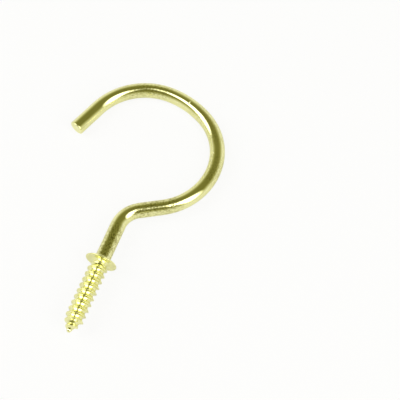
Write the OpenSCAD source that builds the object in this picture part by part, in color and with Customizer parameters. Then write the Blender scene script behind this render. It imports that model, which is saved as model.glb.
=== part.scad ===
// Cup hook: one length of wire with a rolled wood screw thread at one end, an upset collar that stops
// it at the wood, and an open round hook. It lies on its collar's rim and its crown, as it would on a
// table. The origin is the centre of the collar's seat face, +Y runs from the collar to the crown, and
// the hook opens towards -X.

/* [Wire] */
// Diameter of the wire
wire_d = 4; // [3.8:0.1:5]
// Diameter that the wire loses where it is bent
bend_thinning = 0.02; // [0.02:0.01:0.06]
// Width of the broken edge round the cut end
end_chamfer = 0.2; // [0.1:0.05:0.6]

/* [Hook] */
// Straight length from the collar's seat face to the first bend
shank_length = 11.2; // [6:0.1:16]
// Centreline radius of the first bend, which turns away from the opening
elbow_radius = 6.7; // [5:0.1:12]
// Angle of the first bend
elbow_angle = 60; // [40:1:70]
// Straight length between the first bend and the loop
neck_length = 6.1; // [1:0.1:12]
// Centreline radius of the loop's lower side
belly_radius = 16.6; // [12:0.1:22]
// Angle that the loop's lower side turns through
belly_angle = 117.5; // [90:0.5:125]
// Centreline radius of the flatter stretch up to the crown
crown_radius = 23.4; // [15:0.1:30]
// Angle of that stretch
crown_angle = 29.5; // [10:0.5:45]
// Centreline radius of the loop's free side
nose_radius = 16.7; // [12:0.1:22]
// Angle that the loop's free side turns through
nose_angle = 72.5; // [50:0.5:90]
// Straight length at the free end
nose_length = 8.4; // [1:0.1:12]

/* [Collar] */
// Diameter of the collar
collar_d = 8.3; // [7:0.1:11]
// Height of the collar where it meets the wire
collar_height = 1.1; // [0.8:0.05:2]
// Thickness of the collar's rounded rim
rim_thickness = 0.4; // [0.3:0.05:0.6]

/* [Thread] */
// Length from the collar's seat face to the tip
thread_length = 20.1; // [12:0.1:30]
// Diameter over the crests
crest_d = 5.05; // [4.4:0.05:5.3]
// Diameter at the root
root_d = 3.7; // [2.8:0.05:3.7]
// Distance from one turn to the next
pitch = 1.65; // [1.3:0.01:2.2]
// Width of the crest's flat
crest_width = 0.1; // [0.06:0.02:0.3]
// Width of the thread's shallow flank, which faces the collar
shallow_flank = 0.72; // [0.4:0.02:0.9]
// Width of its steep flank, which faces the tip
steep_flank = 0.31; // [0.16:0.01:0.5]
// How much higher the groove's floor is at the foot of the steep flank
root_rise = 0.09; // [0.02:0.01:0.2]
// Length over which the thread narrows to the tip
taper_length = 3.5; // [2:0.1:7]
// Diameter of the rounded tip
tip_d = 1.2; // [0.8:0.1:2]
// Length of the fillet between the collar's seat face and the thread
fillet_length = 0.6; // [0.5:0.05:1]
// Gap between the crests and the flat part of the seat face
seat_clearance = 0.1; // [0.05:0.05:0.4]

/* [Hidden] */

BRASS = [0.84, 0.77, 0.36];
ROUND = 64;
COLUMNS = 24;

wire_r = wire_d / 2;
collar_r = collar_d / 2;
crest_r = crest_d / 2;
root_r = root_d / 2;
tip_r = tip_d / 2;

// The wire's path from the collar to the cut end: [length, 0] is a straight run, and [radius, turn] is
// a bend, whose turn is in degrees and positive to the left
PATH = [
    [shank_length, 0],
    [elbow_radius, -elbow_angle],
    [neck_length, 0],
    [belly_radius, belly_angle],
    [crown_radius, crown_angle],
    [nose_radius, nose_angle],
    [nose_length, 0]
];

// How deep the pieces of the solid run into one another where they join
lap = 0.1;

// Place and heading, as [x, y, degrees from +X], where a stretch of the path starts
function place(i) = i == 0 ? [0, 0, 90] : after(place(i - 1), PATH[i - 1]);

// Place and heading at the end of a stretch
function after(start, stretch) =
    stretch[1] == 0
        ? [start[0] + stretch[0] * cos(start[2]), start[1] + stretch[0] * sin(start[2]), start[2]]
        : let (
            centre = bend_centre(start, stretch),
            heading = start[2] + stretch[1],
            offset = sign(stretch[1]) * stretch[0]
        )
        [centre[0] + offset * sin(heading), centre[1] - offset * cos(heading), heading];

// Centre of a bend
function bend_centre(start, stretch) =
    let (offset = sign(stretch[1]) * stretch[0])
    [start[0] - offset * sin(start[2]), start[1] + offset * cos(start[2])];

// How far a stretch reaches along +Y: to the top of a bend that turns back there, or to its end
function reach(start, stretch) =
    stretch[1] > 0 && start[2] <= 180 && start[2] + stretch[1] >= 180
        ? bend_centre(start, stretch)[1] + stretch[0]
        : after(start, stretch)[1];

// The angle at which the collar's rim and the crown both touch the table
crown_reach = max([for (i = [0:len(PATH) - 1]) reach(place(i), PATH[i])]);
rim_to_crown = crown_reach - rim_thickness / 2;
rest_tilt = acos(wire_r / norm([collar_r, rim_to_crown])) - atan(rim_to_crown / collar_r);

// A straight run of wire along +X, whose far end may have a broken edge
module straight_wire(length, chamfer) {
    rotate([0, 90, 0])
        cylinder(h = length - chamfer, r = wire_r, $fn = ROUND);
    if (chamfer > 0)
        translate([length - chamfer, 0, 0])
            rotate([0, 90, 0])
                cylinder(h = chamfer, r1 = wire_r, r2 = wire_r - chamfer, $fn = ROUND);
}

// A bend of wire round the origin, which starts at one angle and sweeps to the left
module bent_wire(radius, from, sweep, thinned) {
    extra = thinned ? lap / radius * 180 / PI : 0;
    r = thinned ? wire_r - bend_thinning / 2 : wire_r;
    rotate([0, 0, from - extra])
        rotate_extrude(angle = sweep + 2 * extra, $fn = 2 * ROUND)
            translate([radius, 0])
                circle(r = r, $fn = ROUND);
}

// The bent wire, from the collar's seat face to the cut end
module wire() {
    last = len(PATH) - 1;
    for (i = [0:last]) {
        start = place(i);
        size = PATH[i][0];
        turn = PATH[i][1];
        if (turn == 0)
            translate([start[0], start[1], 0])
                rotate([0, 0, start[2]])
                    straight_wire(size, i == last ? end_chamfer : 0);
        else
            translate(bend_centre(start, PATH[i]))
                bent_wire(size, turn > 0 ? start[2] - 90 : start[2] + 90 + turn, abs(turn), i % 2 == 1);
    }
}

// The collar: a flat seat face at z = 0, a rounded rim, and an upper side that rises to the wire
module collar() {
    flat_r = collar_r - rim_thickness / 2;
    slope = (collar_height - rim_thickness) / (flat_r - wire_r);
    rotate_extrude($fn = ROUND) {
        polygon([
            [0, 0],
            [flat_r, 0],
            [flat_r, rim_thickness],
            [0, rim_thickness + slope * flat_r]
        ]);
        translate([flat_r, rim_thickness / 2])
            circle(d = rim_thickness, $fn = ROUND / 2);
    }
}

// The cone that eases the seat face into the thread. It starts inside the collar and ends inside the
// thread's core
module fillet() {
    seat_r = crest_r + seat_clearance;
    slope = (seat_r - root_r) / fillet_length;
    translate([0, 0, -rim_thickness])
        cylinder(h = rim_thickness, r = seat_r, $fn = ROUND);
    cylinder(h = fillet_length + lap / slope, r1 = seat_r, r2 = root_r - lap, $fn = ROUND);
}

// One turn of the thread from groove to groove: [share of the ridge's height, distance along the axis]
TURN = [
    [0, 0],
    [1, shallow_flank],
    [1, shallow_flank + crest_width],
    [root_rise / (crest_r - root_r), shallow_flank + crest_width + steep_flank]
];

// The thread's rows run round the axis as one helix, with one row for each point of TURN. They start
// inside the wire, and past the tip's centre they close up on the end of the tip
thread_start = -1.39 * pitch;
dome_start = thread_length - tip_r;
taper_start = thread_length - taper_length;
closing_length = 4 * tip_r;
turns = ceil((dome_start + closing_length - thread_start) / pitch);
ROWS = turns * len(TURN);

// Distance from the seat face to a point of the thread, closed up on the tip
function eased(s) =
    s < dome_start ? s : thread_length - tip_r * exp(-(s - dome_start) / tip_r);

// Radius of the thread's core
function core(s) =
    s < taper_start ? root_r
    : s < dome_start ? root_r + (tip_r - root_r) * (s - taper_start) / (dome_start - taper_start)
    : sqrt(pow(tip_r, 2) - pow(s - dome_start, 2));

// Share of the ridge's full height, which runs out over half a turn at the fillet and at the tip
function ridge(s) = max(0, min(1, (s - fillet_length) / pitch * 2, (dome_start - s) / pitch * 2));

function thread_point(row, column) =
    let (
        shape = TURN[row % len(TURN)],
        share = column / COLUMNS,
        s = eased(thread_start + (floor(row / len(TURN)) + share) * pitch + shape[1]),
        r = core(s) + shape[0] * ridge(s) * (crest_r - root_r)
    )
    [r * cos(360 * share), r * sin(360 * share), s];

// A row's last column is the first column of the row one turn on
function at(row, column) =
    column < COLUMNS ? row * COLUMNS + column : (row + len(TURN)) * COLUMNS;

// The edge where the helix starts or ends: once round along a row, and one turn back along a column
function thread_edge(row) = [
    for (column = [0:COLUMNS - 1]) at(row, column),
    for (back = [len(TURN):-1:1]) at(row + back, 0)
];

module thread() {
    first_edge = thread_edge(0);
    last_edge = thread_edge(ROWS);
    edge_length = len(first_edge);
    points = [
        for (row = [0:ROWS + len(TURN)]) for (column = [0:COLUMNS - 1]) thread_point(row, column),
        [0, 0, thread_start],
        [0, 0, thread_length]
    ];
    start_point = len(points) - 2;
    tip_point = len(points) - 1;
    side_faces = [
        for (row = [0:ROWS - 1]) for (column = [0:COLUMNS - 1]) each [
            [at(row, column), at(row + 1, column), at(row + 1, column + 1)],
            [at(row, column), at(row + 1, column + 1), at(row, column + 1)]
        ]
    ];
    start_faces = [
        for (i = [0:edge_length - 1])
            [start_point, first_edge[i], first_edge[(i + 1) % edge_length]]
    ];
    tip_faces = [
        for (i = [0:edge_length - 1])
            [tip_point, last_edge[(i + 1) % edge_length], last_edge[i]]
    ];
    polyhedron(points = points, faces = concat(side_faces, start_faces, tip_faces));
}

module cup_hook() {
    color(BRASS)
        rotate([-rest_tilt, 0, 0]) {
            wire();
            rotate([-90, 0, 0])
                collar();
            rotate([90, 0, 0]) {
                fillet();
                thread();
            }
        }
}

cup_hook();
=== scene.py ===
"""Dresses the cup hook: brass-plated wire with a rolled wood screw thread, on a pale studio table.

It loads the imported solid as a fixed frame, builds the hook's finished surface from the same sizes, and
sets the table, the lamps and the camera. It is laid out as an add-on and run as a script.
"""

import math

import bpy
import numpy as np
from bpy.props import FloatProperty, FloatVectorProperty, IntProperty, PointerProperty
from mathutils import Matrix, Vector


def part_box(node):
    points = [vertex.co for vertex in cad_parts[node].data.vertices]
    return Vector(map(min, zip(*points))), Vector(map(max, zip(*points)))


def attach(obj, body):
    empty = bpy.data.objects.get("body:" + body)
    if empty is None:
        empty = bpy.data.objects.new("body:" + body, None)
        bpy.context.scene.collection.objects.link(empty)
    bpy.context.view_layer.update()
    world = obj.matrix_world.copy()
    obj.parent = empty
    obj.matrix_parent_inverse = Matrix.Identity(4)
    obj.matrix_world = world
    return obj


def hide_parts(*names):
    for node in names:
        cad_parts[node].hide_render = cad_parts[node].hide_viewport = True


bl_info = {
    "name": "Cup Hook",
    "version": (1, 0, 0),
    "blender": (4, 5, 0),
    "location": "3D View > Sidebar > Cup Hook",
    "description": "Builds a brass-plated cup hook and the table it lies on",
    "category": "Object",
}

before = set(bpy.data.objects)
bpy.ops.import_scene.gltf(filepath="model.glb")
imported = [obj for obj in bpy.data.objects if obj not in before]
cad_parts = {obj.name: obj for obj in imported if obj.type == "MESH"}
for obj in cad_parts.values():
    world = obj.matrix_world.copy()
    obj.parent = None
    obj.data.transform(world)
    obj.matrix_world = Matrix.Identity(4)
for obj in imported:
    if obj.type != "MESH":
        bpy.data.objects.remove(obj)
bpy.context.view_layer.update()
TABLE_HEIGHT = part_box("cup_hook")[0].z

MM = 0.001


# --- Sizes and colours ---------------------------------------------------------------------------


def length(name, description, millimetres):
    return FloatProperty(
        name=name, description=description, default=millimetres * MM, unit="LENGTH", precision=5
    )


def angle(name, description, degrees):
    return FloatProperty(
        name=name, description=description, default=math.radians(degrees), unit="ROTATION"
    )


def share(name, description, value):
    return FloatProperty(
        name=name, description=description, default=value, min=0, max=1, subtype="FACTOR"
    )


def number(name, description, value):
    return FloatProperty(name=name, description=description, default=value)


def colour(name, description, value):
    return FloatVectorProperty(
        name=name, description=description, default=value, size=3, min=0, max=1, subtype="COLOR"
    )


class HookShape(bpy.types.PropertyGroup):
    """Sizes of the bent wire, the collar and the thread."""

    wire_d: length("Wire", "Diameter of the wire", 4)
    shank_length: length("Shank", "Straight length from the seat face to the first bend", 11.2)
    elbow_radius: length("Elbow radius", "Centreline radius of the first bend", 6.7)
    elbow_angle: angle("Elbow", "Angle of the first bend", 60)
    neck_length: length("Neck", "Straight length between the first bend and the loop", 6.1)
    belly_radius: length("Belly radius", "Centreline radius of the loop's lower side", 16.6)
    belly_angle: angle("Belly", "Angle that the loop's lower side turns through", 117.5)
    crown_radius: length("Crown radius", "Centreline radius of the stretch up to the crown", 23.4)
    crown_angle: angle("Crown", "Angle of that stretch", 29.5)
    nose_radius: length("Nose radius", "Centreline radius of the loop's free side", 16.7)
    nose_angle: angle("Nose", "Angle that the loop's free side turns through", 72.5)
    nose_length: length("Free end", "Straight length at the free end", 8.4)
    end_round: length("End round", "Radius of the worn edge round the cut end", 0.27)
    collar_d: length("Collar", "Diameter of the collar", 8.3)
    collar_height: length("Collar height", "Height of the collar where it meets the wire", 1.1)
    rim_thickness: length("Rim", "Thickness of the collar's rounded rim", 0.4)
    thread_length: length("Thread", "Length from the seat face to the tip", 20.1)
    crest_d: length("Crests", "Diameter over the thread's crests", 5.05)
    root_d: length("Roots", "Diameter at the thread's root", 3.7)
    pitch: length("Pitch", "Distance from one turn of the thread to the next", 1.65)
    crest_width: length("Crest width", "Width of the crest's flat", 0.1)
    shallow_flank: length("Shallow flank", "Width of the thread's flank towards the collar", 0.72)
    steep_flank: length("Steep flank", "Width of its flank towards the tip", 0.31)
    root_rise: length("Root rise", "Rise of the groove's floor towards the steep flank", 0.09)
    thread_turns: number("Thread phase", "Turns that the thread runs back past the seat face", 1.39)
    taper_length: length("Taper", "Length over which the thread narrows to the tip", 3.5)
    tip_d: length("Tip", "Diameter of the rounded tip", 1.2)
    fillet_length: length("Fillet", "Length of the fillet between the seat face and the thread", 0.6)
    seat_clearance: length("Seat clearance", "Gap between the crests and the flat seat face", 0.1)
    columns: IntProperty(
        name="Columns", description="Faces round the wire", default=96, min=16, max=128
    )


class BrassFinish(bpy.types.PropertyGroup):
    """Colour and surface of the bright brass plate."""

    plate: colour("Plate", "Colour of the plate", (0.92, 0.905, 0.49))
    plate_thin: colour("Thin plate", "Colour where the plate is a little dulled", (0.87, 0.855, 0.42))
    polish: share("Polish", "Roughness where the plate is brightest", 0.04)
    haze: share("Haze", "Roughness where the plate is dullest", 0.07)
    grain: length("Grain", "Size of the mottling in the plate", 0.33)
    grain_depth: length("Grain depth", "Depth of that mottling", 0.045)
    # Painted shade: a dark colour put into the low spots of the mottling, where its pits would hold shade
    pit_shade: colour("Pits", "Colour of the small pits in the mottled stretches", (0.42, 0.39, 0.14))
    draw_line: length("Draw lines", "Distance between the lines left by drawing the wire", 0.12)
    draw_depth: length("Draw line depth", "Depth of those lines", 0.0018)
    nick: length("Nicks", "Typical distance between the nicks from handling", 5)
    nick_depth: length("Nick depth", "Depth of those nicks", 0.12)


class Studio(bpy.types.PropertyGroup):
    """The table, the lamps and the camera."""

    table: colour("Table", "Colour of the table", (0.94, 0.94, 0.99))
    table_lift: share("Table lift", "Share of plain white in the table as the camera sees it", 0.88)
    table_shine: share("Table in the brass", "Share of plain white in the table's reflection", 0.2)
    table_size: length("Table size", "Side of the table", 4000)
    softbox_level: number("Softboxes", "Brightness of their middle, where 1 is white", 4.5)
    softbox_height: angle("Softbox height", "Height of the softboxes' middle over the table", 50)
    softbox_turn: angle("Softbox place", "Angle from the crown's side to each softbox", 105)
    softbox_width: angle("Softbox width", "Width of the softboxes as seen from the hook", 35)
    softbox_length: angle("Softbox length", "Length of the softboxes as seen from the hook", 80)
    softbox_edge: share("Softbox edge", "Share of each half of a softbox that dims towards its edge", 0.9)
    lamp_distance: length("Lamp distance", "Distance from the hook to the softboxes", 620)
    wall: number("Walls", "Brightness of the room's walls near the table, where 1 is white", 0.9)
    ceiling: number("Ceiling", "Brightness of the room's ceiling, where 1 is white", 0.2)
    wall_top: angle("Wall top", "Height at which the walls have faded into the ceiling", 60)
    wall_colour: colour("Wall colour", "Colour of the walls near the table", (1, 1, 1))
    ceiling_colour: colour("Ceiling colour", "Colour of the ceiling", (1, 0.97, 0.3))
    camera_azimuth: angle("Camera azimuth", "Angle of the camera round the hook", 21.46)
    camera_elevation: angle("Camera elevation", "Height of the camera over the hook's plane", 63)
    camera_distance: length("Camera distance", "Distance to the middle of the view", 334.62)
    lens: FloatProperty(
        name="Lens",
        description="Focal length on a 36 mm sensor",
        default=117,
        subtype="DISTANCE_CAMERA",
    )


# --- The hook's surface --------------------------------------------------------------------------

# Distance between rows of points along the screw and along the wire
SCREW_STEP = 0.055 * MM
WIRE_STEP = 0.36 * MM
# Rows of points round the tip's dome
DOME_ROWS = 8
# How much a bend flattens the wire: the share of its radius is this length over the bend's radius
FLATTENING = 0.12 * MM
# The wire's slight unevenness: its depth, and for each wave the turn in radians per mm along the wire
# with its phase, and the lobes round the wire with their phase
UNEVENNESS = 0.0015 * MM
WAVES = ((1.9, 0, 3, 0.7), (0.83, 1.1, 2, -0.4))


def stretches(shape):
    """The wire's path from the seat face: (length, 0) is straight, (radius, turn) bends to the left."""
    return [
        (shape.shank_length, 0),
        (shape.elbow_radius, -shape.elbow_angle),
        (shape.neck_length, 0),
        (shape.belly_radius, shape.belly_angle),
        (shape.crown_radius, shape.crown_angle),
        (shape.nose_radius, shape.nose_angle),
        (shape.nose_length, 0),
    ]


def run(stretch):
    """Length of a stretch along its centreline."""
    size, turn = stretch
    return size * abs(turn) if turn else size


def follow(shape, along):
    """Centres, headings and curvatures of the path at distances along it; below 0 is the screw."""
    centre = np.zeros((len(along), 2))
    heading = np.full(len(along), math.pi / 2)
    curvature = np.zeros(len(along))
    centre[:, 1] = along
    x, y, h, start = 0.0, 0.0, math.pi / 2, 0.0
    for stretch in stretches(shape):
        size, turn = stretch
        end = start + run(stretch)
        here = along > start
        s = along[here] - start
        if turn:
            side = math.copysign(1, turn)
            cx, cy = x - side * size * math.sin(h), y + side * size * math.cos(h)
            a = h + side * s / size
            centre[here, 0] = cx + side * size * np.sin(a)
            centre[here, 1] = cy - side * size * np.cos(a)
            heading[here] = a
            curvature[here] = side / size
            h += turn
            x, y = cx + side * size * math.sin(h), cy - side * size * math.cos(h)
        else:
            centre[here, 0] = x + s * math.cos(h)
            centre[here, 1] = y + s * math.sin(h)
            heading[here] = h
            curvature[here] = 0
            x, y = x + size * math.cos(h), y + size * math.sin(h)
        start = end
    return centre, heading, curvature


def rest_tilt(shape):
    """Angle at which the collar's rim and the crown both touch the table."""
    total = sum(run(s) for s in stretches(shape))
    centre, _, _ = follow(shape, np.linspace(0, total, 4001))
    rise = centre[:, 1].max() - shape.rim_thickness / 2
    collar_r, wire_r = shape.collar_d / 2, shape.wire_d / 2
    return math.acos(wire_r / math.hypot(collar_r, rise)) - math.atan(rise / collar_r)


def spaced(start, end, step):
    """Even steps from start to end, both included."""
    return np.linspace(start, end, max(2, int(math.ceil(abs(end - start) / step)) + 1))


def smooth(t):
    """0 up to 0 and 1 from 1 on, with an even curve between them."""
    t = np.clip(t, 0, 1)
    return t * t * (3 - 2 * t)


def screw_rows(shape):
    """Distances from the seat face and core radii of the screw's rows, from the tip to the fillet."""
    tip_r, root_r = shape.tip_d / 2, shape.root_d / 2
    dome = shape.thread_length - tip_r
    taper = shape.thread_length - shape.taper_length
    turn = np.linspace(0, math.pi / 2, DOME_ROWS + 1)[1:]
    s = np.concatenate(
        [dome + tip_r * np.cos(turn), spaced(dome, shape.fillet_length, SCREW_STEP)[1:]]
    )
    core = np.where(
        s < taper,
        root_r,
        np.where(
            s < dome,
            root_r + (tip_r - root_r) * (s - taper) / (dome - taper),
            np.sqrt(np.maximum(tip_r**2 - (s - dome) ** 2, 0)),
        ),
    )
    return s, core


def ridge(shape, s, around):
    """Height of the thread's ridge, from 0 to 1, at distances from the seat face and angles round it."""
    height = (shape.crest_d - shape.root_d) / 2
    t = (s[:, None] / shape.pitch + shape.thread_turns - around[None] / (2 * math.pi)) % 1 * shape.pitch
    floor = shape.root_rise / height
    widths = (0, shape.shallow_flank, shape.crest_width, shape.steep_flank)
    turn = np.append(np.cumsum(widths), shape.pitch)
    rise = np.interp(t, turn, [0, 1, 1, floor, 0])
    dome = shape.thread_length - shape.tip_d / 2
    run_out = np.clip(np.minimum(s - shape.fillet_length, dome - s) / shape.pitch * 2, 0, 1)
    return rise * run_out[:, None]


def hook_surface(shape):
    """Rows of points from the tip to the cut end, and each row's distance along the straight wire."""
    around = np.linspace(0, 2 * math.pi, shape.columns, endpoint=False)
    wire_r, crest_r, root_r = shape.wire_d / 2, shape.crest_d / 2, shape.root_d / 2
    rim_r = shape.rim_thickness / 2
    flat_r = shape.collar_d / 2 - rim_r
    seat_r = crest_r + shape.seat_clearance

    s, core = screw_rows(shape)
    screw_radius = core[:, None] + ridge(shape, s, around) * (crest_r - root_r)
    along = [-s]
    radius = [screw_radius]

    def add(a, r):
        along.append(np.asarray(a))
        radius.append(np.repeat(np.asarray(r)[:, None], len(around), axis=1))

    f = np.linspace(0, 1, 9)[1:]
    add(-shape.fillet_length * (1 - f), root_r + (seat_r - root_r) * f**1.3)
    add(np.zeros(6), np.linspace(seat_r, flat_r, 7)[1:])
    turn = np.radians(np.linspace(-90, 90, 13))[1:]
    add(rim_r + rim_r * np.sin(turn), flat_r + rim_r * np.cos(turn))
    f = np.linspace(0, 1, 13)[1:]
    add(
        shape.rim_thickness + (shape.collar_height - shape.rim_thickness) * f**1.15,
        flat_r + (wire_r - flat_r) * f**0.95,
    )
    total = sum(run(t) for t in stretches(shape))
    body = spaced(shape.collar_height, total - shape.end_round, WIRE_STEP)[1:]
    _, _, curvature = follow(shape, body)
    flattened = FLATTENING * np.abs(curvature)
    wave = sum(
        np.sin(body / MM * rate + start)[:, None] * np.cos(lobes * around + offset)[None] - 1
        for rate, start, lobes, offset in WAVES
    )
    along.append(body)
    radius.append(
        wire_r * (1 - flattened[:, None] * np.cos(around)[None] ** 2) + UNEVENNESS * wave
    )
    turn = np.radians(np.linspace(0, 90, 7))[1:]
    er = shape.end_round
    add(total - er + er * np.sin(turn), wire_r - er + er * np.cos(turn))
    add(np.full(5, total), (wire_r - er) * np.array([0.92, 0.75, 0.55, 0.35, 0.15]))
    return np.concatenate(along), np.vstack(radius), around, total


# Share of the full mottling on wire that is neither bent nor upset
SMOOTH_SHARE = 0.04
# Where bending and upsetting have roughened the wire: arc length from the seat face, half length and
# share of the full mottling, whose pits also get painted shade
ROUGHENED = ((3, 7, 0.9), (22, 6, 1), (42, 4, 0.5), (56, 6, 0.4), (77, 7, 0.6))


def roughness_along(shape, along):
    """Share of the full mottling at distances along the wire; the collar and the screw are smooth."""
    worked = np.full(len(along), SMOOTH_SHARE)
    for middle, half, full in ROUGHENED:
        worked = np.maximum(worked, full * smooth(2 - np.abs(along / MM - middle) / half * 1.4))
    worked[along < shape.collar_height] = SMOOTH_SHARE
    return worked


def build_hook(shape, material):
    """One closed mesh for the whole hook, in the row frame, with its unrolled wire as an attribute."""
    along, radius, around, total = hook_surface(shape)
    centre, heading, _ = follow(shape, along)
    side = np.stack([np.sin(heading), -np.cos(heading), np.zeros_like(heading)], axis=1)
    up = np.array([0.0, 0.0, 1.0])
    middle = np.concatenate([centre, np.zeros((len(along), 1))], axis=1)
    points = (
        middle[:, None]
        + radius[..., None] * np.cos(around)[None, :, None] * side[:, None]
        + radius[..., None] * np.sin(around)[None, :, None] * up
    )
    unrolled = np.stack(
        [
            radius * np.cos(around)[None],
            np.repeat(along[:, None], len(around), axis=1),
            radius * np.sin(around)[None],
        ],
        axis=2,
    )
    rows, columns = radius.shape
    ends, _, _ = follow(shape, np.array([-shape.thread_length, total]))
    poles = np.concatenate([ends, np.zeros((2, 1))], axis=1)
    vertices = np.concatenate([points.reshape(-1, 3), poles])
    straight = np.concatenate(
        [unrolled.reshape(-1, 3), [[0, -shape.thread_length, 0], [0, total, 0]]]
    )
    tilt = np.array(Matrix.Rotation(-rest_tilt(shape), 3, "X"))
    vertices = vertices @ tilt.T

    first = np.arange(columns)
    second = (first + 1) % columns
    one_row = np.stack([first, second, second + columns, first + columns], axis=1)
    quads = np.concatenate([one_row + row * columns for row in range(rows - 1)])
    faces = [tuple(quad) for quad in quads.tolist()]
    tip, end = rows * columns, rows * columns + 1
    last = (rows - 1) * columns
    faces += [(int(b), int(a), tip) for a, b in zip(first, second)]
    faces += [(last + int(a), last + int(b), end) for a, b in zip(first, second)]

    mesh = bpy.data.meshes.new("hook")
    mesh.from_pydata(vertices.tolist(), [], faces)
    if mesh.validate():
        raise RuntimeError("the hook's mesh has faces that Blender can't keep")
    attribute = mesh.attributes.new("straight_wire", "FLOAT_VECTOR", "POINT")
    attribute.data.foreach_set("vector", straight.astype(np.float32).ravel())
    worked = np.append(np.repeat(roughness_along(shape, along), columns), [SMOOTH_SHARE] * 2)
    attribute = mesh.attributes.new("worked", "FLOAT", "POINT")
    attribute.data.foreach_set("value", worked.astype(np.float32))
    mesh.materials.append(material)
    mesh.polygons.foreach_set("use_smooth", np.ones(len(mesh.polygons), dtype=bool))
    hook = bpy.data.objects.new("hook", mesh)
    bpy.context.scene.collection.objects.link(hook)
    return hook


# --- Materials -----------------------------------------------------------------------------------


def new_material(name):
    material = bpy.data.materials.new(name)
    material.use_nodes = True
    return material, material.node_tree.nodes, material.node_tree.links


# Sizes across and along the wire of the patches of stronger mottling and of the clouds in the plate
PATCHES = (2.5 * MM, 6 * MM)
CLOUDS = (1.2 * MM, 4 * MM)
# How many times longer than wide a grain of the mottling and a line from drawing are
GRAIN_STRETCH = 1.6
LINE_STRETCH = 30
# The two deepest nicks: mm along the wire, degrees round it, and half sizes in mm across and along it
MARKS = ((64.2, 98, 0.7, 0.22), (46.6, 119, 0.3, 0.3))


def brass_plate(finish, wire_r):
    """Bright brass plate over drawn wire: mottled where it was worked, with painted shade in its pits,
    lined and nicked.
    """
    material, nodes, links = new_material("brass_plate")
    shader = nodes["Principled BSDF"]
    shader.inputs["Metallic"].default_value = 1

    straight = nodes.new("ShaderNodeAttribute")
    straight.attribute_name = "straight_wire"

    def stretched(across, along):
        mapping = nodes.new("ShaderNodeMapping")
        mapping.vector_type = "POINT"
        mapping.inputs["Scale"].default_value = (1 / across, 1 / along, 1 / across)
        links.new(straight.outputs["Vector"], mapping.inputs["Vector"])
        return mapping.outputs["Vector"]

    def noise(vector, detail, roughness=0.5):
        node = nodes.new("ShaderNodeTexNoise")
        node.inputs["Scale"].default_value = 1
        node.inputs["Detail"].default_value = detail
        node.inputs["Roughness"].default_value = roughness
        links.new(vector, node.inputs["Vector"])
        return node.outputs["Fac"]

    def ramp(value, low, high, to_low=0.0, to_high=1.0):
        node = nodes.new("ShaderNodeMapRange")
        node.interpolation_type = "SMOOTHSTEP"
        node.inputs["From Min"].default_value = low
        node.inputs["From Max"].default_value = high
        node.inputs["To Min"].default_value = to_low
        node.inputs["To Max"].default_value = to_high
        links.new(value, node.inputs["Value"])
        return node.outputs["Result"]

    def product(a, b):
        node = nodes.new("ShaderNodeMath")
        node.operation = "MULTIPLY"
        links.new(a, node.inputs[0])
        links.new(b, node.inputs[1])
        return node.outputs[0]

    worked = nodes.new("ShaderNodeAttribute")
    worked.attribute_name = "worked"
    patches = ramp(noise(stretched(*PATCHES), 2), 0.3, 0.6, 0.5, 1)
    mottled = product(worked.outputs["Fac"], patches)
    grain = noise(stretched(finish.grain, GRAIN_STRETCH * finish.grain), 3, 0.55)
    lines = noise(stretched(finish.draw_line, LINE_STRETCH * finish.draw_line), 2, 0.6)

    cells = nodes.new("ShaderNodeTexVoronoi")
    cells.feature = "F1"
    cells.inputs["Scale"].default_value = 1
    cells.inputs["Randomness"].default_value = 1
    links.new(stretched(finish.nick, finish.nick), cells.inputs["Vector"])
    nicks = ramp(cells.outputs["Distance"], 0.02, 0.06)
    for arc, turned, across, along in MARKS:
        a = math.radians(turned)
        centre = (wire_r * math.cos(a), arc * MM, wire_r * math.sin(a))
        offset = nodes.new("ShaderNodeVectorMath")
        offset.operation = "SUBTRACT"
        offset.inputs[1].default_value = centre
        links.new(straight.outputs["Vector"], offset.inputs[0])
        scaled = nodes.new("ShaderNodeVectorMath")
        scaled.operation = "MULTIPLY"
        scaled.inputs[1].default_value = (1 / (across * MM), 1 / (along * MM), 1 / (across * MM))
        links.new(offset.outputs["Vector"], scaled.inputs[0])
        far = nodes.new("ShaderNodeVectorMath")
        far.operation = "LENGTH"
        links.new(scaled.outputs["Vector"], far.inputs[0])
        nicks = product(nicks, ramp(far.outputs["Value"], 0, 1))

    tint = nodes.new("ShaderNodeMix")
    tint.data_type = "RGBA"
    tint.inputs[6].default_value = (*finish.plate, 1)
    tint.inputs[7].default_value = (*finish.plate_thin, 1)
    links.new(ramp(noise(stretched(*CLOUDS), 4, 0.6), 0.35, 0.75), tint.inputs[0])
    # Painted shade: the pit colour darkens the low spots of the grain in the mottled stretches
    pit_shaded = nodes.new("ShaderNodeMix")
    pit_shaded.data_type = "RGBA"
    pit_shaded.inputs[7].default_value = (*finish.pit_shade, 1)
    links.new(tint.outputs[2], pit_shaded.inputs[6])
    links.new(product(mottled, ramp(grain, 0.56, 0.4)), pit_shaded.inputs[0])
    links.new(pit_shaded.outputs[2], shader.inputs["Base Color"])

    dull = ramp(product(mottled, ramp(grain, 0.3, 0.7)), 0, 1, finish.polish, finish.haze)
    links.new(dull, shader.inputs["Roughness"])

    def bump(height, depth, before=None):
        node = nodes.new("ShaderNodeBump")
        node.inputs["Strength"].default_value = 1
        node.inputs["Distance"].default_value = depth
        links.new(height, node.inputs["Height"])
        if before is not None:
            links.new(before, node.inputs["Normal"])
        return node.outputs["Normal"]

    surface = bump(product(grain, mottled), finish.grain_depth)
    surface = bump(lines, finish.draw_depth, surface)
    surface = bump(nicks, finish.nick_depth, surface)
    links.new(surface, shader.inputs["Normal"])
    return material


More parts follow.
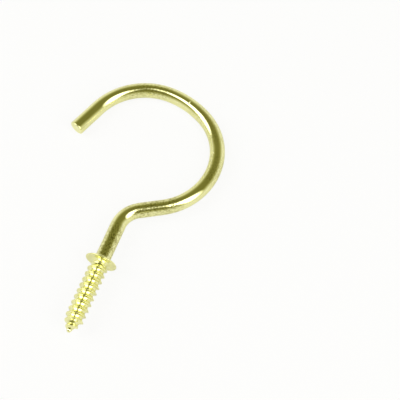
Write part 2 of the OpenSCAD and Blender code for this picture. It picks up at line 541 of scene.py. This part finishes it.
def matt_board(studio):
    """Smooth white board, seen whiter by the camera and in the brass, with the hook's shadow kept."""
    material, nodes, links = new_material("table_board")
    nodes.remove(nodes["Principled BSDF"])
    paint = nodes.new("ShaderNodeBsdfDiffuse")
    mottle = nodes.new("ShaderNodeTexNoise")
    mottle.inputs["Scale"].default_value = 40
    tint = nodes.new("ShaderNodeMix")
    tint.data_type = "RGBA"
    tint.inputs[6].default_value = (*studio.table, 1)
    tint.inputs[7].default_value = (*[0.995 * c for c in studio.table], 1)
    links.new(mottle.outputs["Fac"], tint.inputs[0])
    links.new(tint.outputs[2], paint.inputs["Color"])
    white = nodes.new("ShaderNodeEmission")
    path = nodes.new("ShaderNodeLightPath")
    lift = None
    for ray, amount in (
        ("Is Camera Ray", studio.table_lift),
        ("Is Transmission Ray", studio.table_lift),
        ("Is Glossy Ray", studio.table_shine),
    ):
        step = nodes.new("ShaderNodeMath")
        step.operation = "MULTIPLY_ADD"
        links.new(path.outputs[ray], step.inputs[0])
        step.inputs[1].default_value = amount
        step.inputs[2].default_value = 0
        if lift is not None:
            links.new(lift, step.inputs[2])
        lift = step.outputs[0]
    board = nodes.new("ShaderNodeMixShader")
    links.new(lift, board.inputs["Fac"])
    links.new(paint.outputs["BSDF"], board.inputs[1])
    links.new(white.outputs["Emission"], board.inputs[2])
    links.new(board.outputs["Shader"], nodes["Material Output"].inputs["Surface"])
    return material


# --- The stage -----------------------------------------------------------------------------------


def direction(azimuth, elevation):
    """Unit vector from an angle clockwise from +Y and an angle above the table."""
    level = math.cos(elevation)
    return Vector((math.sin(azimuth) * level, math.cos(azimuth) * level, math.sin(elevation)))


def softbox(name, studio, side, aim):
    """A lamp on one side of the hook, which dims towards its edges; side is -1 for left and 1 for right."""
    distance = studio.lamp_distance
    azimuth = side * studio.softbox_turn
    lamp = bpy.data.lights.new(name, "AREA")
    lamp.shape = "RECTANGLE"
    lamp.size = 2 * distance * math.tan(studio.softbox_width / 2)
    lamp.size_y = 2 * distance * math.tan(studio.softbox_length / 2)
    lamp.energy = studio.softbox_level * math.pi * lamp.size * lamp.size_y
    lamp.use_nodes = True
    nodes, links = lamp.node_tree.nodes, lamp.node_tree.links
    face = nodes.new("ShaderNodeNewGeometry")
    previous = face.outputs["Parametric"]
    for operation, constant in (("SUBTRACT", 0.5), ("ABSOLUTE", 0)):
        node = nodes.new("ShaderNodeVectorMath")
        node.operation = operation
        node.inputs[1].default_value = (constant,) * 3
        links.new(previous, node.inputs[0])
        previous = node.outputs["Vector"]
    parts = nodes.new("ShaderNodeSeparateXYZ")
    links.new(previous, parts.inputs["Vector"])
    both = nodes.new("ShaderNodeMath")
    both.operation = "MULTIPLY"
    for socket, axis in zip(both.inputs, "XY"):
        fade = nodes.new("ShaderNodeMapRange")
        fade.interpolation_type = "SMOOTHSTEP"
        fade.inputs["From Min"].default_value = 0.5
        fade.inputs["From Max"].default_value = 0.5 - studio.softbox_edge / 2
        links.new(parts.outputs[axis], fade.inputs["Value"])
        links.new(fade.outputs["Result"], socket)
    links.new(both.outputs[0], nodes["Emission"].inputs["Strength"])
    holder = bpy.data.objects.new(name, lamp)
    bpy.context.scene.collection.objects.link(holder)
    out = direction(azimuth, studio.softbox_height)
    holder.location = aim + out * distance
    level = Vector((math.cos(azimuth), -math.sin(azimuth), 0))
    holder.rotation_euler = Matrix((level, out.cross(level), out)).transposed().to_euler()
    holder.visible_camera = False
    return holder


def room(studio):
    """The room: pale walls near the table, which fade evenly into a dim ceiling."""
    world = bpy.data.worlds.new("room")
    bpy.context.scene.world = world
    world.use_nodes = True
    nodes, links = world.node_tree.nodes, world.node_tree.links
    background = nodes["Background"]
    view = nodes.new("ShaderNodeTexCoord")
    parts = nodes.new("ShaderNodeSeparateXYZ")
    links.new(view.outputs["Generated"], parts.inputs["Vector"])
    fade = nodes.new("ShaderNodeMapRange")
    fade.interpolation_type = "SMOOTHSTEP"
    fade.inputs["From Min"].default_value = 0
    fade.inputs["From Max"].default_value = math.sin(studio.wall_top)
    fade.inputs["To Min"].default_value = studio.wall
    fade.inputs["To Max"].default_value = studio.ceiling
    links.new(parts.outputs["Z"], fade.inputs["Value"])
    links.new(fade.outputs["Result"], background.inputs["Strength"])
    warmth = nodes.new("ShaderNodeMapRange")
    warmth.inputs["From Min"].default_value = studio.ceiling
    warmth.inputs["From Max"].default_value = studio.wall
    links.new(fade.outputs["Result"], warmth.inputs["Value"])
    tint = nodes.new("ShaderNodeMix")
    tint.data_type = "RGBA"
    tint.inputs[6].default_value = (*studio.ceiling_colour, 1)
    tint.inputs[7].default_value = (*studio.wall_colour, 1)
    links.new(warmth.outputs["Result"], tint.inputs[0])
    links.new(tint.outputs[2], background.inputs["Color"])


# Middle of the view, in the hook's own plane and from the seat face
VIEW_MIDDLE = (16.78 * MM, 25.52 * MM, 0.06 * MM)


def build_stage(shape, studio):
    """Table, softboxes, room and camera."""
    tilt = Matrix.Rotation(-rest_tilt(shape), 3, "X")
    aim = tilt @ Vector(VIEW_MIDDLE)

    half = studio.table_size / 2
    mesh = bpy.data.meshes.new("table")
    mesh.from_pydata(
        [(x * half, y * half, TABLE_HEIGHT) for x, y in ((-1, -1), (1, -1), (1, 1), (-1, 1))],
        [],
        [(0, 1, 2, 3)],
    )
    mesh.materials.append(matt_board(studio))
    table = bpy.data.objects.new("table", mesh)
    bpy.context.scene.collection.objects.link(table)

    softbox("left_softbox", studio, -1, aim)
    softbox("right_softbox", studio, 1, aim)
    room(studio)

    a, e = studio.camera_azimuth, studio.camera_elevation
    back = tilt @ Vector((math.sin(a) * math.cos(e), -math.cos(a) * math.cos(e), math.sin(e)))
    across = tilt @ Vector((math.cos(a), math.sin(a), 0))
    upward = back.cross(across)
    data = bpy.data.cameras.new("camera")
    data.lens = studio.lens
    data.sensor_width = 36
    data.clip_start, data.clip_end = 0.01, 20
    camera = bpy.data.objects.new("camera", data)
    bpy.context.scene.collection.objects.link(camera)
    turn = Matrix((across, upward, back)).transposed()
    camera.matrix_world = Matrix.Translation(aim + back * studio.camera_distance) @ turn.to_4x4()
    bpy.context.scene.camera = camera
    bpy.context.scene.view_settings.view_transform = "Standard"


# --- Operators and panel -------------------------------------------------------------------------


class CUPHOOK_OT_hook(bpy.types.Operator):
    """Build the plated hook over its solid"""

    bl_idname = "cuphook.hook"
    bl_label = "Build Hook"

    def execute(self, context):
        shape = context.scene.hook_shape
        hook = build_hook(shape, brass_plate(context.scene.brass_finish, shape.wire_d / 2))
        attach(hook, "root")
        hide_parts("cup_hook")
        return {"FINISHED"}


class CUPHOOK_OT_stage(bpy.types.Operator):
    """Set the table, the lamps and the camera"""

    bl_idname = "cuphook.stage"
    bl_label = "Set Stage"

    def execute(self, context):
        build_stage(context.scene.hook_shape, context.scene.studio)
        return {"FINISHED"}


class CUPHOOK_PT_panel(bpy.types.Panel):
    """Sizes, colours and steps of the cup hook"""

    bl_label = "Cup Hook"
    bl_idname = "CUPHOOK_PT_panel"
    bl_space_type = "VIEW_3D"
    bl_region_type = "UI"
    bl_category = "Cup Hook"

    def draw(self, context):
        column = self.layout.column()
        for group in (context.scene.hook_shape, context.scene.brass_finish, context.scene.studio):
            for name in group.__annotations__:
                column.prop(group, name)
        for step in STEPS:
            column.operator(step.bl_idname)


GROUPS = {"hook_shape": HookShape, "brass_finish": BrassFinish, "studio": Studio}
STEPS = (CUPHOOK_OT_hook, CUPHOOK_OT_stage)
CLASSES = (*GROUPS.values(), *STEPS, CUPHOOK_PT_panel)


def register():
    for cls in CLASSES:
        bpy.utils.register_class(cls)
    for name, group in GROUPS.items():
        setattr(bpy.types.Scene, name, PointerProperty(type=group))


def unregister():
    for name in GROUPS:
        delattr(bpy.types.Scene, name)
    for cls in reversed(CLASSES):
        bpy.utils.unregister_class(cls)


def main():
    register()
    bpy.ops.cuphook.hook()
    bpy.ops.cuphook.stage()


if __name__ == "__main__":
    main()
